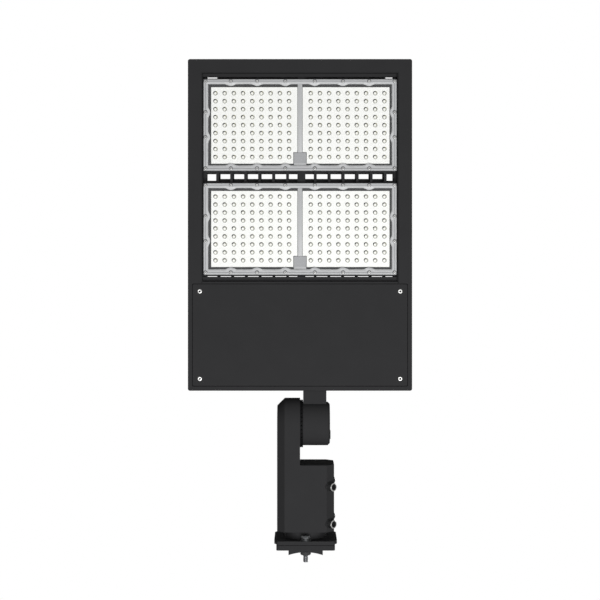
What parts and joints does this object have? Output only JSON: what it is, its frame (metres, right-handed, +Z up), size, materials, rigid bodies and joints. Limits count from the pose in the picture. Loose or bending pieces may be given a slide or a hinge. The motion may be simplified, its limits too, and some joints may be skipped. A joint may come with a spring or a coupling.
{
  "type": "pole light",
  "caption": "LED area light: clear lens modules over a driver bay in a black finned casting, on a tilting slip-fitter knuckle with a saddle adapter that bolts to a round pole.",
  "frame": {"origin": "on the spigot's axis, at the underside of the pole adapter's lower plate, where the saddle starts", "axes": "+Z up the spigot towards the head, -Y the way the lenses face at rest, +X to the right of the lens side along the knuckle axis"},
  "size_m": [0.32, 0.0918, 0.7167],
  "materials": {
    "powder_coat": "fine black powder coat on die-cast aluminium",
    "clear_lens": "moulded clear polycarbonate",
    "silicone": "matt silicone",
    "stainless": "stainless screws",
    "zinc_steel": "zinc-plated fasteners",
    "white_board": "white solder mask on an aluminium core",
    "led_phosphor": "phosphor-filled LED packages",
    "grey_potting": "grey potting",
    "lead_jacket": "round rubber lead",
    "driver_case": "bare aluminium case",
    "black_nylon": "moulded nylon",
    "bronze": "sintered bronze"
  },
  "bodies": {
    "adapter": {"pole_adapter": "powder_coat", "pole_bolts": "zinc_steel", "pole_bolt_washers": "zinc_steel", "pole_bolt_lock_washers": "zinc_steel", "pole_bolt_seals": "silicone"},
    "fitter": {"slip_fitter": "powder_coat", "fitter_tooth_ring": "powder_coat", "set_screws": "stainless", "pivot_bolt": "zinc_steel", "pivot_washer": "zinc_steel", "pivot_lock_washer": "zinc_steel", "knuckle_seal": "silicone"},
    "head": {"housing": "powder_coat", "driver_cover": "powder_coat", "driver_cover_gasket": "silicone", "driver_cover_screws": "stainless", "led_driver": "driver_case", "led_driver_screws": "zinc_steel", "surge_protector": "black_nylon", "supply_terminal": "black_nylon", "lead_junction": "grey_potting", "breather_vent": "black_nylon", "knuckle_arm": "powder_coat", "knuckle_cap": "powder_coat", "tilt_lock_screw": "stainless", "arm_tooth_ring": "powder_coat", "pivot_bush": "bronze", "arm_gasket": "silicone", "arm_screws": "zinc_steel", "supply_gland": "black_nylon", "upper_lens": "clear_lens", "upper_lens_gasket": "silicone", "upper_lens_screws": "stainless", "upper_lead_connector": "grey_potting", "upper_module_lead": "lead_jacket", "upper_led_board_left": "white_board", "upper_led_chips_left": "led_phosphor", "upper_led_board_right": "white_board", "upper_led_chips_right": "led_phosphor", "lower_lens": "clear_lens", "lower_lens_gasket": "silicone", "lower_lens_screws": "stainless", "lower_lead_connector": "grey_potting", "lower_module_lead": "lead_jacket", "lower_led_board_left": "white_board", "lower_led_chips_left": "led_phosphor", "lower_led_board_right": "white_board", "lower_led_chips_right": "led_phosphor"}
  },
  "joints": [
    {"name": "fitter_swivel", "type": "hinge", "parent": "adapter", "child": "fitter", "pos_m": [0, 0, 0], "axis": [0, 0, 1], "range_deg": [-180, 180]},
    {"name": "knuckle_tilt", "type": "hinge", "parent": "fitter", "child": "head", "pos_m": [0, 0, 0.1766], "axis": [1, 0, 0], "range_deg": [-90, 90]}
  ]
}
